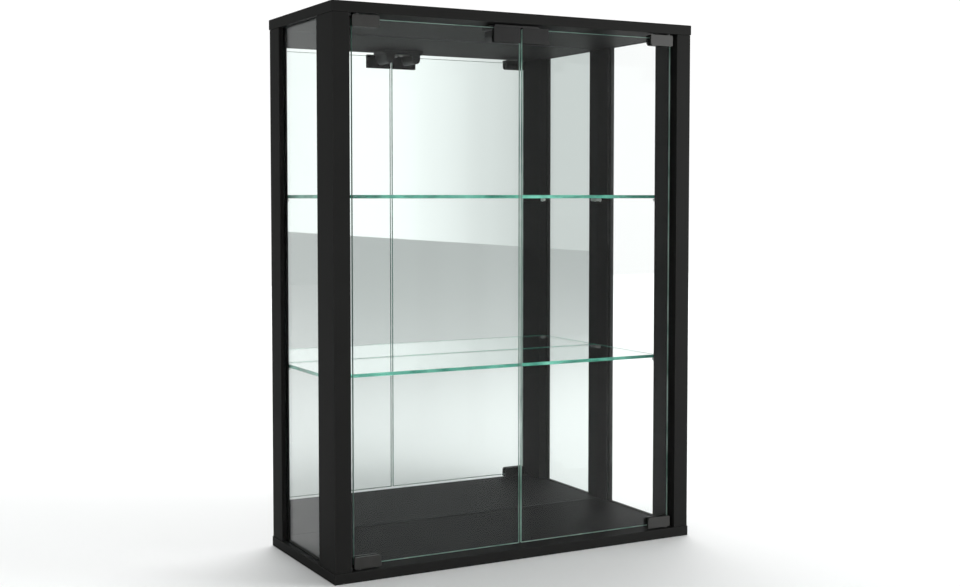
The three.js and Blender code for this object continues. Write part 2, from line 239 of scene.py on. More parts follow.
floor_mesh = bpy.data.meshes.new("floor")
floor_corners = [
    (FLOOR_LOW[0], FLOOR_LOW[1], -FLOOR_DROP),
    (FLOOR_HIGH[0], FLOOR_LOW[1], -FLOOR_DROP),
    (FLOOR_HIGH[0], FLOOR_HIGH[1], -FLOOR_DROP),
    (FLOOR_LOW[0], FLOOR_HIGH[1], -FLOOR_DROP),
]
floor_mesh.from_pydata(floor_corners, [], [(0, 1, 2, 3)])
floor = bpy.data.objects.new("floor", floor_mesh)
scene.collection.objects.link(floor)
floor_paint = bpy.data.materials.new("floor_paint")
floor_paint.use_nodes = True
floor_shader = floor_paint.node_tree.nodes["Principled BSDF"]
floor_shader.inputs["Base Color"].default_value = FLOOR_TONE
floor_shader.inputs["Roughness"].default_value = FLOOR_ROUGHNESS
floor_mesh.materials.append(floor_paint)

# %% [markdown]
# ## Finishes
#
# Every finish starts from the same few effects. A fine grain breaks up the gloss, a slow mottling
# varies the colour, and wear brightens the edges that hands touch. On the black foil that lighter
# edge tone is also a painted highlight. Each effect is a node group with its own sizes as inputs,
# so that one group serves foil, metal and plastic.

# %% Helpers for shader nodes
def add_node(tree, kind, inputs=None, **settings):
    """A new node with some of its properties and its unlinked inputs set."""
    made = tree.nodes.new(kind)
    for key, value in settings.items():
        setattr(made, key, value)
    for key, value in (inputs or {}).items():
        if isinstance(value, bpy.types.NodeSocket):
            tree.links.new(value, made.inputs[key])
        else:
            made.inputs[key].default_value = value
    return made


def maths(tree, operation, first, second=0.0, third=0.0, clamp=False):
    """The output of a Math node."""
    return add_node(
        tree,
        "ShaderNodeMath",
        {0: first, 1: second, 2: third},
        operation=operation,
        use_clamp=clamp,
    ).outputs[0]


def new_group(name, inputs, outputs):
    """An empty shader node group, with its input and output nodes."""
    group = bpy.data.node_groups.new(name, "ShaderNodeTree")
    for label, (kind, value) in inputs.items():
        socket = group.interface.new_socket(label, in_out="INPUT", socket_type=kind)
        socket.default_value = value
    for label, kind in outputs.items():
        group.interface.new_socket(label, in_out="OUTPUT", socket_type=kind)
    return group, group.nodes.new("NodeGroupInput"), group.nodes.new("NodeGroupOutput")


FLOAT = "NodeSocketFloat"

# %% Fine grain
grain, given, result = new_group(
    "fine_grain",
    {"Grain size": (FLOAT, 1 * MM), "Mottle size": (FLOAT, 60 * MM)},
    {"Height": FLOAT, "Mottle": FLOAT},
)
spot = add_node(grain, "ShaderNodeTexCoord").outputs["Object"]
fine = add_node(
    grain,
    "ShaderNodeTexNoise",
    {"Vector": spot, "Scale": maths(grain, "DIVIDE", 1.0, given.outputs["Grain size"]), "Detail": 3.0},
)
slow = add_node(
    grain,
    "ShaderNodeTexNoise",
    {"Vector": spot, "Scale": maths(grain, "DIVIDE", 1.0, given.outputs["Mottle size"]), "Detail": 4.0},
)
grain.links.new(fine.outputs["Fac"], result.inputs["Height"])
grain.links.new(slow.outputs["Fac"], result.inputs["Mottle"])

# %% [markdown]
# Wear sits where two faces of a piece meet, and so does the painted highlight on the black foil's
# eased edges. On a surface point of a box, the nearest face is at no distance, so the second
# nearest one gives the distance to the edge. Each piece carries the corners of its own box as
# attributes, and one group finds the edges of them all.

# %% Edge wear and painted edge highlight
PATCH_SCALE = 90.0
PATCH_MIDDLE = 0.62
LEAST_PATCH = 0.35
wear_and_highlight, given, result = new_group(
    "edge_wear_and_highlight",
    {"Width": (FLOAT, 2 * MM), "Patchiness": (FLOAT, 0.6)},
    {"Mask": FLOAT},
)
spot = add_node(wear_and_highlight, "ShaderNodeTexCoord").outputs["Object"]
low = add_node(wear_and_highlight, "ShaderNodeAttribute", attribute_name="box_low").outputs["Vector"]
high = add_node(wear_and_highlight, "ShaderNodeAttribute", attribute_name="box_high").outputs["Vector"]
to_low = add_node(wear_and_highlight, "ShaderNodeVectorMath", {0: spot, 1: low}, operation="SUBTRACT")
to_high = add_node(wear_and_highlight, "ShaderNodeVectorMath", {0: high, 1: spot}, operation="SUBTRACT")
nearest = add_node(
    wear_and_highlight,
    "ShaderNodeVectorMath",
    {0: to_low.outputs[0], 1: to_high.outputs[0]},
    operation="MINIMUM",
)
parts = add_node(wear_and_highlight, "ShaderNodeSeparateXYZ", {0: nearest.outputs[0]})
x, y, z = parts.outputs
larger_xy = maths(wear_and_highlight, "MAXIMUM", x, y)
smaller_xy = maths(wear_and_highlight, "MINIMUM", x, y)
to_edge = maths(wear_and_highlight, "MAXIMUM", smaller_xy, maths(wear_and_highlight, "MINIMUM", larger_xy, z))
patches = add_node(wear_and_highlight, "ShaderNodeTexNoise", {"Vector": spot, "Scale": PATCH_SCALE, "Detail": 5.0})
closeness = maths(
    wear_and_highlight,
    "SUBTRACT",
    1.0,
    maths(wear_and_highlight, "DIVIDE", to_edge, given.outputs["Width"], clamp=True),
    clamp=True,
)
patch_mask = maths(
    wear_and_highlight,
    "MULTIPLY_ADD",
    maths(wear_and_highlight, "SUBTRACT", patches.outputs["Fac"], PATCH_MIDDLE),
    given.outputs["Patchiness"],
    LEAST_PATCH,
    clamp=True,
)
wear_and_highlight.links.new(maths(wear_and_highlight, "MULTIPLY", closeness, patch_mask, clamp=True), result.inputs["Mask"])

# %% [markdown]
# A solid finish is one shader with these effects in front of it. The function takes the colours
# and sizes of one finish, and plain numbers such as the gloss level go straight on the shader.

# %% Solid finishes
def solid_finish(
    name,
    colour,
    mottled,
    edge,
    roughness,
    metallic=0.0,
    specular=0.5,
    grain_size=1 * MM,
    grain_depth=0.02 * MM,
    mottle_size=60 * MM,
    wear_and_highlight_width=1.5 * MM,
    coat=0.0,
):
    """A finish for wood, metal or plastic: base colour, a second tone, and a tone for worn edges, which
    on the black foil is also a painted highlight.
    """
    material = bpy.data.materials.new(name)
    material.use_nodes = True
    tree = material.node_tree
    shader = tree.nodes["Principled BSDF"]
    texture = add_node(tree, "ShaderNodeGroup", node_tree=grain)
    texture.inputs["Grain size"].default_value = grain_size
    texture.inputs["Mottle size"].default_value = mottle_size
    wear_and_highlight_node = add_node(tree, "ShaderNodeGroup", node_tree=wear_and_highlight)
    wear_and_highlight_node.inputs["Width"].default_value = wear_and_highlight_width
    tones = add_node(
        tree,
        "ShaderNodeMix",
        {0: texture.outputs["Mottle"], 6: (*colour, 1), 7: (*mottled, 1)},
        data_type="RGBA",
    )
    # On the black foil this edge tone is also a painted highlight along the eased edges.
    with_wear_and_highlight = add_node(
        tree,
        "ShaderNodeMix",
        {0: wear_and_highlight_node.outputs["Mask"], 6: tones.outputs[2], 7: (*edge, 1)},
        data_type="RGBA",
    )
    gloss = add_node(
        tree,
        "ShaderNodeMapRange",
        {"Value": texture.outputs["Mottle"], "To Min": roughness[0], "To Max": roughness[1]},
    )
    relief = add_node(
        tree,
        "ShaderNodeBump",
        {"Height": texture.outputs["Height"], "Strength": 1.0, "Distance": grain_depth},
    )
    tree.links.new(with_wear_and_highlight.outputs[2], shader.inputs["Base Color"])
    tree.links.new(gloss.outputs["Result"], shader.inputs["Roughness"])
    tree.links.new(relief.outputs["Normal"], shader.inputs["Normal"])
    shader.inputs["Metallic"].default_value = metallic
    shader.inputs["Specular IOR Level"].default_value = specular
    shader.inputs["Coat Weight"].default_value = coat
    return material


# The black foil's third tone lightens its edges. It is partly wear and partly a painted highlight along
# the eased edges, which its low gloss alone would barely show.
foil = solid_finish(
    "black_foil",
    (0.0115, 0.0115, 0.0112),
    (0.0155, 0.0155, 0.0150),
    (0.038, 0.038, 0.037),
    (0.46, 0.58),
    specular=0.02,
    grain_size=0.8 * MM,
    grain_depth=0.0015 * MM,
)
coated_zinc = solid_finish(
    "coated_zinc",
    (0.020, 0.0195, 0.0185),
    (0.028, 0.0275, 0.026),
    (0.08, 0.08, 0.075),
    (0.38, 0.50),
    specular=0.2,
    grain_size=0.35 * MM,
    grain_depth=0.02 * MM,
    mottle_size=12 * MM,
    wear_and_highlight_width=0.8 * MM,
)
coated_steel = solid_finish(
    "coated_steel",
    (0.009, 0.009, 0.009),
    (0.014, 0.014, 0.014),
    (0.05, 0.05, 0.05),
    (0.40, 0.50),
    specular=0.1,
    grain_size=0.3 * MM,
    grain_depth=0.01 * MM,
    mottle_size=15 * MM,
    wear_and_highlight_width=0.5 * MM,
)
soft_liner = solid_finish(
    "soft_liner",
    (0.010, 0.010, 0.010),
    (0.016, 0.016, 0.016),
    (0.03, 0.03, 0.03),
    (0.72, 0.86),
    specular=0.3,
    grain_size=0.4 * MM,
    mottle_size=8 * MM,
)
black_plastic = solid_finish(
    "black_plastic",
    (0.011, 0.011, 0.011),
    (0.016, 0.016, 0.016),
    (0.035, 0.035, 0.035),
    (0.42, 0.55),
    specular=0.4,
    grain_size=0.45 * MM,
    mottle_size=14 * MM,
    wear_and_highlight_width=0.6 * MM,
)
white_plastic = solid_finish(
    "white_plastic",
    (0.90, 0.91, 0.89),
    (0.84, 0.86, 0.84),
    (0.94, 0.94, 0.93),
    (0.16, 0.26),
    grain_size=0.5 * MM,
    mottle_size=6 * MM,
    coat=0.4,
)
zinc_plate = solid_finish(
    "zinc_plate",
    (0.38, 0.385, 0.39),
    (0.52, 0.51, 0.47),
    (0.66, 0.66, 0.64),
    (0.30, 0.46),
    metallic=1.0,
    grain_size=0.4 * MM,
    mottle_size=4 * MM,
    wear_and_highlight_width=0.4 * MM,
)
nickel_plate = solid_finish(
    "nickel_plate",
    (0.66, 0.64, 0.60),
    (0.74, 0.72, 0.68),
    (0.85, 0.83, 0.80),
    (0.12, 0.22),
    metallic=1.0,
    grain_size=0.3 * MM,
    grain_depth=0.005 * MM,
    mottle_size=3 * MM,
)
hardboard = solid_finish(
    "hardboard",
    (0.020, 0.019, 0.018),
    (0.034, 0.031, 0.028),
    (0.10, 0.075, 0.05),
    (0.62, 0.8),
    specular=0.35,
    grain_size=1.6 * MM,
    grain_depth=0.12 * MM,
    mottle_size=25 * MM,
)

# %% [markdown]
# Glass is drawn as two finishes on one closed pane. The big faces let light through with a trace
# of green and the slow waves that toughened glass gets from its rollers. The polished edges look
# green, because there the eye looks along the pane and not through it. The edge finish is opaque,
# and its colour is painted light: a green glow where a real ray would need dozens of reflections,
# with lighter painted glints along it, so that it shows at any size of picture.
#
# Real glass has an index of refraction of about 1.5. The faces here use a lower one, which keeps
# the veil of reflections on the doors faint in a bright room. Raise GLASS_IOR for true glass.

# %% Glass and mirror
GLASS_IOR = 1.22
EDGE_IOR = 1.5
FAINTER = 0.985
GLINT_STREAK_SCALE = 22.0
GLINT_STREAK_RANGE = (0.35, 0.65)
ROLLER_WAVE = (160 * MM, 0.05 * MM)
MIRROR_WAVE = (220 * MM, 0.03 * MM)


def wavy(tree, wave_size, wave_depth):
    """A normal with slow waves, such as rollers leave in glass."""
    spot = add_node(tree, "ShaderNodeTexCoord").outputs["Object"]
    waves = add_node(
        tree,
        "ShaderNodeTexNoise",
        {"Vector": spot, "Scale": 1 / wave_size, "Detail": 1.0},
    )
    bump = add_node(
        tree,
        "ShaderNodeBump",
        {"Height": waves.outputs["Fac"], "Strength": 1.0, "Distance": wave_depth},
    )
    return bump.outputs["Normal"], waves.outputs["Fac"]


def glass_faces(name, tint, ior):
    """Clear glass for the two big faces of a pane."""
    material = bpy.data.materials.new(name)
    material.use_nodes = True
    tree = material.node_tree
    shader = tree.nodes["Principled BSDF"]
    normal, waves = wavy(tree, *ROLLER_WAVE)
    faint = tuple(part * FAINTER for part in tint)
    tone = add_node(tree, "ShaderNodeMix", {0: waves, 6: (*tint, 1), 7: (*faint, 1)}, data_type="RGBA")
    tree.links.new(tone.outputs[2], shader.inputs["Base Color"])
    tree.links.new(normal, shader.inputs["Normal"])
    shader.inputs["Roughness"].default_value = 0.0
    shader.inputs["IOR"].default_value = ior
    shader.inputs["Transmission Weight"].default_value = 1.0
    return material


def glass_edge(name, deep, glint_green, roughness):
    """The polished edge of a pane: an opaque painted green glow, with lighter painted glints along it.
    """
    material = bpy.data.materials.new(name)
    material.use_nodes = True
    tree = material.node_tree
    shader = tree.nodes["Principled BSDF"]
    # Painted light: this edge is opaque, and its green stands in for light carried along the pane, with
    # lighter painted glints along it.
    spot = add_node(tree, "ShaderNodeTexCoord").outputs["Object"]
    glint_streaks = add_node(
        tree,
        "ShaderNodeTexNoise",
        {"Vector": spot, "Scale": GLINT_STREAK_SCALE, "Detail": 6.0, "Roughness": 0.6},
    )
    spread = add_node(
        tree,
        "ShaderNodeMapRange",
        {
            "Value": glint_streaks.outputs["Fac"],
            "From Min": GLINT_STREAK_RANGE[0],
            "From Max": GLINT_STREAK_RANGE[1],
        },
    )
    tone = add_node(
        tree,
        "ShaderNodeMix",
        {0: spread.outputs["Result"], 6: (*deep, 1), 7: (*glint_green, 1)},
        data_type="RGBA",
    )
    tree.links.new(tone.outputs[2], shader.inputs["Base Color"])
    shader.inputs["Roughness"].default_value = roughness
    shader.inputs["IOR"].default_value = EDGE_IOR
    return material


door_faces = glass_faces("door_glass_faces", (0.985, 0.997, 0.993), GLASS_IOR)
shelf_faces = glass_faces("shelf_glass_faces", (0.955, 0.99, 0.978), GLASS_IOR)
# Both edge finishes are painted light: a deep green glow and lighter painted glints.
door_edge = glass_edge("door_glass_edge_painted_glow", (0.14, 0.27, 0.22), (0.42, 0.56, 0.50), 0.12)
shelf_edge = glass_edge("shelf_glass_edge_painted_glow", (0.014, 0.24, 0.16), (0.20, 0.71, 0.54), 0.10)

silver = bpy.data.materials.new("mirror_silver")
silver.use_nodes = True
tree = silver.node_tree
shader = tree.nodes["Principled BSDF"]
normal, waves = wavy(tree, *MIRROR_WAVE)
tone = add_node(
    tree,
    "ShaderNodeMix",
    {0: waves, 6: (0.86, 0.895, 0.885, 1), 7: (0.84, 0.88, 0.87, 1)},
    data_type="RGBA",
)
tree.links.new(tone.outputs[2], shader.inputs["Base Color"])
tree.links.new(normal, shader.inputs["Normal"])
shader.inputs["Metallic"].default_value = 1.0
shader.inputs["Roughness"].default_value = 0.01
mirror_paint = solid_finish(
    "mirror_back_paint",
    (0.16, 0.17, 0.18),
    (0.21, 0.22, 0.23),
    (0.3, 0.31, 0.32),
    (0.5, 0.65),
    mottle_size=30 * MM,
)

# %% [markdown]
# ## Putting a piece in place
#
# Each finished piece stands for one CAD node or more and moves with the same body. Before that its
# mesh is settled: doubled points are merged, faces are turned outwards, edges sharper than a set
# angle stay sharp, and the corners of its box are written on it for wear and for the painted
# highlight on the black foil's edges.

# %% Settling a mesh
SHARP_ANGLE = math.radians(38)
SAME_POINT = 0.001 * MM


def settle(shape, name):
    """A clean mesh from a bmesh, which it frees."""
    bmesh.ops.remove_doubles(shape, verts=shape.verts, dist=SAME_POINT)
    bmesh.ops.recalc_face_normals(shape, faces=shape.faces)
    for face in shape.faces:
        face.smooth = True
    for edge in shape.edges:
        edge.smooth = not edge.is_manifold or edge.calc_face_angle() < SHARP_ANGLE
    mesh = bpy.data.meshes.new(name)
    shape.to_mesh(mesh)
    shape.free()
    # The box corners feed the edge tone: wear, and on the black foil a painted highlight.
    corners = [vertex.co for vertex in mesh.vertices]
    low = [min(corner[axis] for corner in corners) for axis in range(3)]
    high = [max(corner[axis] for corner in corners) for axis in range(3)]
    for label, value in (("box_low", low), ("box_high", high)):
        attribute = mesh.attributes.new(label, "FLOAT_VECTOR", "POINT")
        attribute.data.foreach_set("vector", value * len(corners))
    return mesh


def place(name, mesh, materials, body, slot, stands_for=()):
    """Puts a settled mesh in the scene on a body."""
    piece = bpy.data.objects.new(name, mesh)
    scene.collection.objects.link(piece)
    for material in materials:
        mesh.materials.append(material)
    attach(piece, body)
    if stands_for:
        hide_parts(*stands_for)
    return piece


def place_for(node, mesh, *materials):
    """A piece that stands for one CAD node."""
    return place(f"{node}_finished", mesh, materials, body_of[node], slot_of[node], [node])


# %% [markdown]
# ## Boards, posts and fittings with eased edges
#
# No real edge is perfectly sharp, and the thin line of light on an eased edge is what tells the
# eye that a black board is solid. The CAD pieces have the right shape with sharp edges, so each
# is copied, its flat faces are joined up again, and its convex edges get a small round. The
# faces keep their own normals, weighted by area, so that a large face stays flat up to the round.

# %% Easing a copy
FLAT_ANGLE = math.radians(1)


def bevel(shape, edges, radius, segments):
    """Rounds some edges of a bmesh to a radius."""
    bmesh.ops.bevel(
        shape,
        geom=edges,
        offset=radius,
        segments=segments,
        profile=0.5,
        affect="EDGES",
        clamp_overlap=True,
    )


def eased_copy(node, radius, segments=3, least_angle=50, keep=lambda edge: True):
    """A copy of a CAD node, its sharp convex edges rounded to a radius."""
    shape = bmesh.new()
    shape.from_mesh(cad_nodes[node].data)
    bmesh.ops.remove_doubles(shape, verts=shape.verts, dist=SAME_POINT)
    bmesh.ops.dissolve_limit(
        shape,
        angle_limit=FLAT_ANGLE,
        verts=shape.verts,
        edges=shape.edges,
    )
    shape.normal_update()
    sharp = [
        edge
        for edge in shape.edges
        if edge.is_manifold
        and edge.is_convex
        and edge.calc_face_angle() > math.radians(least_angle)
        and keep(edge)
    ]
    bevel(shape, sharp, radius, segments)
    return settle(shape, node)


def weighted(piece):
    """Keeps the large faces of a piece flat beside its rounded edges."""
    modifier = piece.modifiers.new("flat_faces", "WEIGHTED_NORMAL")
    modifier.keep_sharp = True
    graph = bpy.context.evaluated_depsgraph_get()
    mesh = bpy.data.meshes.new_from_object(piece.evaluated_get(graph))
    piece.modifiers.remove(modifier)
    old = piece.data
    piece.data = mesh
    bpy.data.meshes.remove(old)
    return piece


# %% Boards and posts
BOARD_ROUND = 0.9 * MM
POST_ROUND = 0.6 * MM
TOUCHING = 0.01 * MM
SHORTEST_EDGE = 6 * MM


def on_outline(node):
    """Tells whether an edge lies along the outer box of a node."""
    low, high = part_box(node)

    def tell(edge):
        middle = (edge.verts[0].co + edge.verts[1].co) / 2
        touching = [
            min(middle[axis] - low[axis], high[axis] - middle[axis]) < TOUCHING
            for axis in range(3)
        ]
        return sum(touching) == 2 and edge.calc_length() > SHORTEST_EDGE

    return tell


for node in ("top_board", "bottom_board"):
    mesh = eased_copy(node, BOARD_ROUND, keep=on_outline(node))
    piece = weighted(place_for(node, mesh, foil))
    print(node, "has", len(piece.data.polygons), "faces")

for side in SIDES:
    for node in (f"front_post_{side}", f"back_post_{side}"):
        mesh = eased_copy(node, POST_ROUND, keep=on_outline(node))
        weighted(place_for(node, mesh, foil))

# %% [markdown]
# The hinge clamps are small zinc castings, so their edges are rounder for their size and are the
# first to lose their coating. The strike plates are bent from sheet and keep crisper edges.

# %% Clamps, liners, strike plates and latch housing
CLAMP_ROUND = 0.55 * MM
LINER_ROUND = 0.15 * MM
CLAMP_SCREW_ROUND = 0.2 * MM
STRIKE_ROUND = 0.35 * MM
HOUSING_ROUND = 0.5 * MM
for side in SIDES:
    for level in LEVELS:
        clamp = f"hinge_clamp_{level}_{side}"
        weighted(place_for(clamp, eased_copy(clamp, CLAMP_ROUND), coated_zinc))
        liner = f"clamp_liner_{level}_{side}"
        weighted(place_for(liner, eased_copy(liner, LINER_ROUND, segments=2), soft_liner))
        screw = f"clamp_screw_{level}_{side}"
        weighted(place_for(screw, eased_copy(screw, CLAMP_SCREW_ROUND, segments=2), coated_steel))
    strike = f"strike_plate_{side}"
    weighted(place_for(strike, eased_copy(strike, STRIKE_ROUND), coated_steel))
weighted(place_for("latch_housing", eased_copy("latch_housing", HOUSING_ROUND), black_plastic))

# %% [markdown]
# ## Panes
#
# A pane is a box with an arris, the flat that a grinder leaves along each edge so that it doesn't
# cut. Its two big faces take the clear finish and all the rest takes the edge finish.

# %% Panes
ARRIS = 0.6 * MM
FINE_ARRIS = 0.3 * MM
SQUARE_ON = 0.99


def pane(node, faces, edge, arris=ARRIS):
    """A pane with ground edges in the box of its CAD node."""
    low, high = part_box(node)
    size = high - low
    shape = bmesh.new()
    bmesh.ops.create_cube(shape, size=1.0)
    bmesh.ops.scale(shape, vec=size, verts=shape.verts)
    bmesh.ops.translate(shape, vec=(low + high) / 2, verts=shape.verts)
    bmesh.ops.bevel(
        shape,
        geom=shape.edges[:],
        offset=arris,
        segments=1,
        profile=0.5,
        affect="EDGES",
    )
    thin = min(range(3), key=lambda axis: size[axis])
    for face in shape.faces:
        face.material_index = 0 if abs(face.normal[thin]) > SQUARE_ON else 1
    mesh = settle(shape, node)
    for polygon in mesh.polygons:
        polygon.use_smooth = False
    return place_for(node, mesh, faces, edge)


for side in SIDES:
    pane(f"door_glass_{side}", door_faces, door_edge)
    pane(f"side_glass_{side}", door_faces, door_edge)
for level in ("lower", "upper"):
    pane(f"{level}_shelf", shelf_faces, shelf_edge, arris=FINE_ARRIS)
mirror = pane("mirror", silver, mirror_paint, arris=FINE_ARRIS)
back_face = max(mirror.data.polygons, key=lambda polygon: polygon.center.y + polygon.area)
back_face.material_index = 1
pane("back_panel", hardboard, hardboard, arris=FINE_ARRIS)

# %% [markdown]
# ## Turned pieces: screws, pins, bushes, plungers and springs
#
# A lathe makes most of the small fittings: a flat outline turned about an axis. Some also have a
# thread or are nothing but a wire wound round the axis, and screws have a recess for the driver.
# One Geometry Nodes tree makes them all. It wraps a grid round the axis, reads the radius and
# the level of each row from the outline, sinks the recess, adds the helix, and puts a copy on each
# point of a small cloud of places. The same tree with other inputs gives the next fitting, which
# is quicker and safer than modelling each of the thirty by hand.

# %% The turning tree
turning = bpy.data.node_groups.new("turned_piece", "GeometryNodeTree")
TURNING_INPUTS = {
    "Outline": ("NodeSocketObject", None),
    "Recess": ("NodeSocketObject", None),
    "Places": ("NodeSocketObject", None),
    "Round": ("NodeSocketInt", 40),
    "Helix radius": ("NodeSocketFloat", 0.0),
    "Helix start": ("NodeSocketFloat", 0.0),
    "Helix length": ("NodeSocketFloat", 0.0),
    "Helix turns": ("NodeSocketFloat", 0.0),
    "Wire radius": ("NodeSocketFloat", 0.0),
    "Wire sides": ("NodeSocketInt", 8),
    "Finish": ("NodeSocketMaterial", None),
}
socket_id = {}
turning.interface.new_socket("Geometry", in_out="INPUT", socket_type="NodeSocketGeometry")
for label, (kind, value) in TURNING_INPUTS.items():
    socket = turning.interface.new_socket(label, in_out="INPUT", socket_type=kind)
    if value is not None:
        socket.default_value = value
    socket_id[label] = socket.identifier
turning.interface.new_socket("Geometry", in_out="OUTPUT", socket_type="NodeSocketGeometry")
given = turning.nodes.new("NodeGroupInput").outputs
result = turning.nodes.new("NodeGroupOutput").inputs

outline = add_node(turning, "GeometryNodeObjectInfo", {"Object": given["Outline"]}).outputs["Geometry"]
row_count = add_node(
    turning,
    "GeometryNodeAttributeDomainSize",
    {"Geometry": outline},
).outputs["Point Count"]
column_count = maths(turning, "ADD", given["Round"], 1)
sheet = add_node(
    turning,
    "GeometryNodeMeshGrid",
    {"Vertices X": column_count, "Vertices Y": row_count},
).outputs["Mesh"]
index = turning.nodes.new("GeometryNodeInputIndex").outputs[0]
column = maths(turning, "FLOOR", maths(turning, "DIVIDE", index, row_count))
row = maths(turning, "SUBTRACT", index, maths(turning, "MULTIPLY", column, row_count))
sample = add_node(
    turning,
    "GeometryNodeSampleIndex",
    {"Geometry": outline, "Index": row},
    data_type="FLOAT_VECTOR",
)
turning.links.new(turning.nodes.new("GeometryNodeInputPosition").outputs[0], sample.inputs["Value"])
profile = add_node(turning, "ShaderNodeSeparateXYZ", {0: sample.outputs["Value"]}).outputs
angle = maths(turning, "DIVIDE", maths(turning, "MULTIPLY", column, math.tau), given["Round"])
wrapped = add_node(
    turning,
    "ShaderNodeCombineXYZ",
    {
        0: maths(turning, "MULTIPLY", profile["X"], maths(turning, "COSINE", angle)),
        1: maths(turning, "MULTIPLY", profile["X"], maths(turning, "SINE", angle)),
        2: profile["Y"],
    },
).outputs[0]
lathed = add_node(
    turning,
    "GeometryNodeSetPosition",
    {"Geometry": sheet, "Position": wrapped},
).outputs["Geometry"]
closed = add_node(
    turning,
    "GeometryNodeMergeByDistance",
    {"Geometry": lathed, "Distance": 0.002 * MM},
).outputs["Geometry"]
print("the lathe part of the tree has", len(turning.nodes), "nodes")

# %% The recess, the helix and the copies
driver = add_node(turning, "GeometryNodeObjectInfo", {"Object": given["Recess"]}).outputs["Geometry"]
sunk = add_node(turning, "GeometryNodeMeshBoolean", {"Mesh 1": closed}, operation="DIFFERENCE")
turning.links.new(driver, sunk.inputs["Mesh 2"])
driver_size = add_node(
    turning,
    "GeometryNodeAttributeDomainSize",
    {"Geometry": driver},
).outputs["Point Count"]
has_recess = maths(turning, "GREATER_THAN", driver_size, 0)
body_shape = add_node(
    turning,
    "GeometryNodeSwitch",
    {"Switch": has_recess, "False": closed, "True": sunk.outputs["Mesh"]},
    input_type="GEOMETRY",
).outputs["Output"]

coil = add_node(
    turning,
    "GeometryNodeCurveSpiral",
    {
        "Resolution": 24,
        "Rotations": given["Helix turns"],
        "Start Radius": given["Helix radius"],
        "End Radius": given["Helix radius"],
        "Height": given["Helix length"],
    },
).outputs["Curve"]
wire = add_node(
    turning,
    "GeometryNodeCurvePrimitiveCircle",
    {"Resolution": given["Wire sides"], "Radius": given["Wire radius"]},
).outputs["Curve"]
coil_mesh = add_node(
    turning,
    "GeometryNodeCurveToMesh",
    {"Curve": coil, "Profile Curve": wire, "Fill Caps": True},
).outputs["Mesh"]
coil_start = add_node(turning, "ShaderNodeCombineXYZ", {2: given["Helix start"]}).outputs[0]
coil_placed = add_node(
    turning,
    "GeometryNodeTransform",
    {"Geometry": coil_mesh, "Translation": coil_start},
).outputs["Geometry"]
coil_or_none = add_node(
    turning,
    "GeometryNodeSwitch",
    {"Switch": maths(turning, "GREATER_THAN", given["Helix turns"], 0.0), "True": coil_placed},
    input_type="GEOMETRY",
).outputs["Output"]
fitting = add_node(turning, "GeometryNodeJoinGeometry", {0: body_shape})
turning.links.new(coil_or_none, fitting.inputs[0])

places = add_node(turning, "GeometryNodeObjectInfo", {"Object": given["Places"]}).outputs["Geometry"]
turn = add_node(
    turning,
    "GeometryNodeInputNamedAttribute",
    {"Name": "turn"},
    data_type="FLOAT_VECTOR",
).outputs["Attribute"]
copies = add_node(
    turning,
    "GeometryNodeInstanceOnPoints",
    {"Points": places, "Instance": fitting.outputs[0], "Rotation": turn},
).outputs["Instances"]
real = add_node(turning, "GeometryNodeRealizeInstances", {"Geometry": copies}).outputs["Geometry"]
finished = add_node(
    turning,
    "GeometryNodeSetMaterial",
    {"Geometry": real, "Material": given["Finish"]},
).outputs["Geometry"]
turning.links.new(finished, result["Geometry"])
print("the whole tree has", len(turning.nodes), "nodes")


# %% [markdown]
# The function below feeds the tree. It makes the helper meshes, sets each input by its
# identifier, takes the result as a plain mesh and clears the helpers away. The settled mesh is a
# new one and starts without materials, so the finish is put on it again. A spot is a point and the
# way in which the fitting's axis points. Most spots come from the box of the CAD node that the
# fitting stands for, so nothing has to be measured twice.

# %% Turning pieces
Helix = namedtuple("Helix", "radius start length turns wire_radius")
AXIS_TURNS = {
    "up": (0, 0, 0),
    "down": (math.pi, 0, 0),
    "back": (-math.pi / 2, 0, 0),
    "left": (0, -math.pi / 2, 0),
    "right": (0, math.pi / 2, 0),
}
AXIS_WAYS = {"up": (2, 1), "down": (2, -1), "back": (1, 1), "left": (0, -1), "right": (0, 1)}


def spot_of(node, outline, way):
    """The place of a turned piece's level 0, from the box of the CAD node that it stands for."""
    low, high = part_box(node)
    spot = (low + high) / 2
    axis, sign = AXIS_WAYS[way]
    start = low[axis] if sign > 0 else high[axis]
    spot[axis] = start - sign * min(level for _, level in outline) * MM
    return spot, way


def helper(name, points, faces=(), edges=(), unit=MM):
    """A mesh object that only feeds the tree."""
    mesh = bpy.data.meshes.new(name)
    mesh.from_pydata([tuple(part * unit for part in point) for point in points], edges, faces)
    return bpy.data.objects.new(name, mesh)


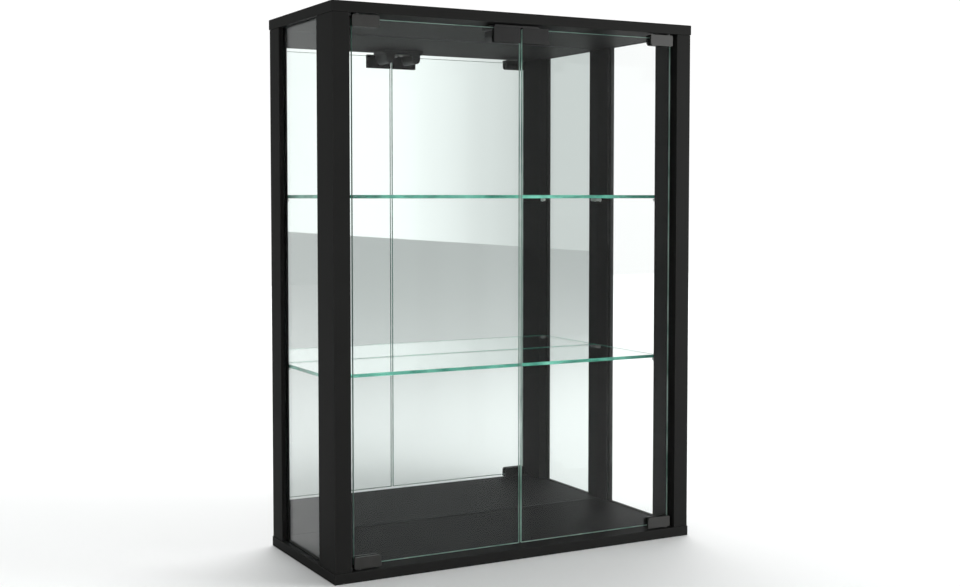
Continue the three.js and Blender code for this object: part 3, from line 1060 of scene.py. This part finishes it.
def turned(name, outline, spots, finish, recess=None, round_steps=40, helix=None, sides=8):
    """Turned fittings as one settled mesh, one on each spot. Outlines are in millimetres."""
    outline_points = [(radius, level, 0) for radius, level in outline]
    links = [(step, step + 1) for step in range(len(outline) - 1)]
    outline_helper = helper(f"{name}_outline", outline_points, edges=links)
    places_helper = helper(f"{name}_places", [spot for spot, way in spots], unit=1)
    turn = places_helper.data.attributes.new("turn", "FLOAT_VECTOR", "POINT")
    for step, (spot, way) in enumerate(spots):
        turn.data[step].vector = AXIS_TURNS[way]
    host = helper(f"{name}_host", [(0, 0, 0)])
    helpers = [outline_helper, places_helper, host]
    if recess:
        recess_helper = helper(f"{name}_recess", *recess)
        helpers.append(recess_helper)
    for made in helpers:
        scene.collection.objects.link(made)
    modifier = host.modifiers.new("turning", "NODES")
    modifier.node_group = turning
    modifier[socket_id["Outline"]] = outline_helper
    modifier[socket_id["Places"]] = places_helper
    modifier[socket_id["Round"]] = round_steps
    modifier[socket_id["Finish"]] = finish
    if recess:
        modifier[socket_id["Recess"]] = recess_helper
    if helix:
        modifier[socket_id["Helix radius"]] = helix.radius * MM
        modifier[socket_id["Helix start"]] = helix.start * MM
        modifier[socket_id["Helix length"]] = helix.length * MM
        modifier[socket_id["Helix turns"]] = float(helix.turns)
        modifier[socket_id["Wire radius"]] = helix.wire_radius * MM
        modifier[socket_id["Wire sides"]] = sides
    graph = bpy.context.evaluated_depsgraph_get()
    raw = bpy.data.meshes.new_from_object(host.evaluated_get(graph))
    shape = bmesh.new()
    shape.from_mesh(raw)
    for face in shape.faces:
        face.material_index = 0
    for made in helpers:
        old = made.data
        bpy.data.objects.remove(made)
        bpy.data.meshes.remove(old)
    bpy.data.meshes.remove(raw)
    mesh = settle(shape, name)
    mesh.materials.append(finish)
    print(name, "turned", len(spots), "times,", len(mesh.polygons), "faces")
    return mesh


def prism(outline, top, bottom, taper=1.0):
    """The points and faces of a prism from top down to bottom, for cutting a recess."""
    count = len(outline)
    points = [(x, y, top) for x, y in outline]
    points += [(x * taper, y * taper, bottom) for x, y in outline]
    faces = [tuple(range(count)), tuple(reversed(range(count, 2 * count)))]
    for step in range(count):
        following = (step + 1) % count
        faces.append((following, step, step + count, following + count))
    return points, faces


def hexagon(across):
    """The corners of a hexagon, by the width across its flats."""
    radius = across / math.sqrt(3)
    return [
        (radius * math.cos(step * math.tau / 6), radius * math.sin(step * math.tau / 6))
        for step in range(6)
    ]


def cross(reach, half_width):
    """The corners of a cross for a driver."""
    corners = [(reach, -half_width), (reach, half_width), (half_width, half_width)]
    return [
        (
            x * math.cos(quarter * math.tau / 4) - y * math.sin(quarter * math.tau / 4),
            x * math.sin(quarter * math.tau / 4) + y * math.cos(quarter * math.tau / 4),
        )
        for quarter in range(4)
        for x, y in corners
    ]


# %% [markdown]
# Eight long screws with countersunk heads and hexagon sockets pull the boards onto the posts.
# Their heads sit half a millimetre below the faces of the boards.

# %% Post screws
POST_SCREW = [
    (0, -48),
    (1.1, -47.4),
    (2.2, -45.5),
    (2.4, -44.8),
    (2.4, -15),
    (3.2, -14.2),
    (3.3, -14),
    (3.3, -4.1),
    (3.5, -3.8),
    (4.7, -1.1),
    (4.8, -0.9),
    (4.8, -0.15),
    (4.65, 0),
    (0, 0),
]
screw_ways = {
    f"{post}_post_screw_{level}_{side}": "up" if level == "top" else "down"
    for post in ("front", "back")
    for level in LEVELS
    for side in SIDES
}
mesh = turned(
    "post_screws",
    POST_SCREW,
    [spot_of(node, POST_SCREW, way) for node, way in screw_ways.items()],
    zinc_plate,
    recess=prism(hexagon(across=4.2), top=0.5, bottom=-2.5),
    helix=Helix(radius=2.35, start=-45.5, length=29.5, turns=12, wire_radius=0.45),
    sides=3,
)
place("post_screws", mesh, [], "cabinet", "zinc_screw", list(screw_ways))

# %% [markdown]
# Small pan-head screws with a cross recess hold the back panel in its rebates and the latch
# under the top board.

# %% Panel and latch screws
# Each point is a share of the head's radius and a share of its height.
PAN_HEAD = [(0.96, 0), (1, 0.12), (0.97, 0.45), (0.86, 0.75), (0.64, 0.94), (0.35, 1), (0, 1)]
POINT_WIDTH = 0.7
POINT_START = 1.6
POINT_END = 2.4


def pan_screw(head_radius, head_height, shank_radius, length):
    """The outline of a pan-head screw, with its head above level 0."""
    shank = [
        (0, -length),
        (shank_radius * POINT_WIDTH, -length + shank_radius * POINT_START),
        (shank_radius, -length + shank_radius * POINT_END),
        (shank_radius, 0),
    ]
    return shank + [(head_radius * out, head_height * up) for out, up in PAN_HEAD]


PANEL_SCREW_INSET = 2 * MM
PANEL_SCREW_LEVELS = (0.04, 0.22, 0.4, 0.58, 0.76)
panel_low, panel_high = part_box("back_panel")
panel_spots = [
    (Vector((x, panel_high.y, level)), "back")
    for x in (panel_low.x + PANEL_SCREW_INSET, panel_high.x - PANEL_SCREW_INSET)
    for level in PANEL_SCREW_LEVELS
]
mesh = turned(
    "panel_screws",
    pan_screw(head_radius=2.1, head_height=1.5, shank_radius=0.95, length=15),
    panel_spots,
    zinc_plate,
    recess=prism(cross(reach=1.25, half_width=0.28), top=2.0, bottom=0.45, taper=0.6),
    round_steps=24,
    helix=Helix(radius=0.95, start=-13.5, length=12.5, turns=11, wire_radius=0.25),
    sides=3,
)
place("panel_screws", mesh, [], "cabinet", "zinc_screw")
LATCH_SCREW = pan_screw(head_radius=3.4, head_height=2.2, shank_radius=1.6, length=17.1)
latch_screws = ["latch_screw_front", "latch_screw_back"]
mesh = turned(
    "latch_screws",
    LATCH_SCREW,
    [spot_of(node, LATCH_SCREW, "down") for node in latch_screws],
    zinc_plate,
    recess=prism(cross(reach=1.9, half_width=0.42), top=3.0, bottom=0.7, taper=0.6),
    round_steps=32,
    helix=Helix(radius=1.6, start=-15, length=11, turns=8, wire_radius=0.35),
    sides=3,
)
place("latch_screws", mesh, [], "cabinet", "zinc_screw", latch_screws)

# %% [markdown]
# A white shelf pin has a collar that stops it at the post, and a lead-in chamfer at both ends.

# %% Shelf pins
SHELF_PIN = [
    (0, -8),
    (2.1, -8),
    (2.5, -7.6),
    (2.5, 0.3),
    (3.3, 0.3),
    (3.5, 0.5),
    (3.5, 1.1),
    (3.3, 1.3),
    (2.5, 1.3),
    (2.5, 7.9),
    (2.1, 8.3),
    (0, 8.3),
]
INWARDS = {"left": "right", "right": "left"}
pin_ways = {}
for level in ("lower", "upper"):
    for side in SIDES:
        pin_ways[f"{level}_shelf_pin_front_{side}"] = "back"
        pin_ways[f"{level}_shelf_pin_back_{side}"] = INWARDS[side]
pin_spots = [spot_of(node, SHELF_PIN, way) for node, way in pin_ways.items()]
mesh = turned("shelf_pins", SHELF_PIN, pin_spots, white_plastic)
place("shelf_pins", mesh, [], "cabinet", "white_plastic", list(pin_ways))

# %% [markdown]
# The pivot bushes are plastic cups with a flange, pressed into the boards from inside.

# %% Pivot bushes
BUSH = [
    (0, 10.5),
    (2.7, 10.5),
    (2.7, 0.25),
    (2.95, 0),
    (5.2, 0),
    (5.4, 0.2),
    (5.4, 1.4),
    (3.9, 1.4),
    (3.9, 11.8),
    (3.5, 12.2),
    (0, 12.2),
]
bush_ways = {
    f"pivot_bush_{level}_{side}": "up" if level == "top" else "down"
    for level in LEVELS
    for side in SIDES
}
bush_spots = [spot_of(node, BUSH, way) for node, way in bush_ways.items()]
mesh = turned("pivot_bushes", BUSH, bush_spots, black_plastic)
place("pivot_bushes", mesh, [], "cabinet", "black_plastic", list(bush_ways))

# %% [markdown]
# Each plunger of the latch is a plastic tube, open at the back for its spring, with a magnet in
# its tip. The spring shortens as its plunger goes in. Here it is made at the length of its CAD
# node and stays with the cabinet.

# %% Plungers, magnets and springs
PLUNGER = [
    (0, 2),
    (3.1, 2),
    (3.1, 0),
    (3.7, 0),
    (4, 0.3),
    (4, 30),
    (2.85, 30),
    (2.85, 5),
    (0, 5),
]
MAGNET = [(0, 0), (2.65, 0), (2.8, 0.15), (2.8, 2), (0, 2)]
SPRING_RADIUS = 2.2
SPRING_WIRE = 0.35
SPRING_TURNS = 9
NO_OUTLINE = [(0, 0)]
for side in SIDES:
    body = f"{side}_plunger"
    for kind, outline, material, slot in (
        ("latch_plunger", PLUNGER, black_plastic, "black_plastic"),
        ("plunger_magnet", MAGNET, nickel_plate, "nickel"),
    ):
        node = f"{kind}_{side}"
        mesh = turned(node, outline, [spot_of(node, outline, "back")], material)
        place(f"{node}_finished", mesh, [], body, slot, [node])
    node = f"latch_spring_{side}"
    low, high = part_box(node)
    length = (high.y - low.y) / MM
    coil = Helix(
        radius=SPRING_RADIUS,
        start=SPRING_WIRE,
        length=length - 2 * SPRING_WIRE,
        turns=SPRING_TURNS,
        wire_radius=SPRING_WIRE,
    )
    mesh = turned(node, NO_OUTLINE, [spot_of(node, NO_OUTLINE, "back")], nickel_plate, helix=coil)
    spring = place(f"{node}_finished", mesh, [], "cabinet", "nickel", [node])
    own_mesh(spring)
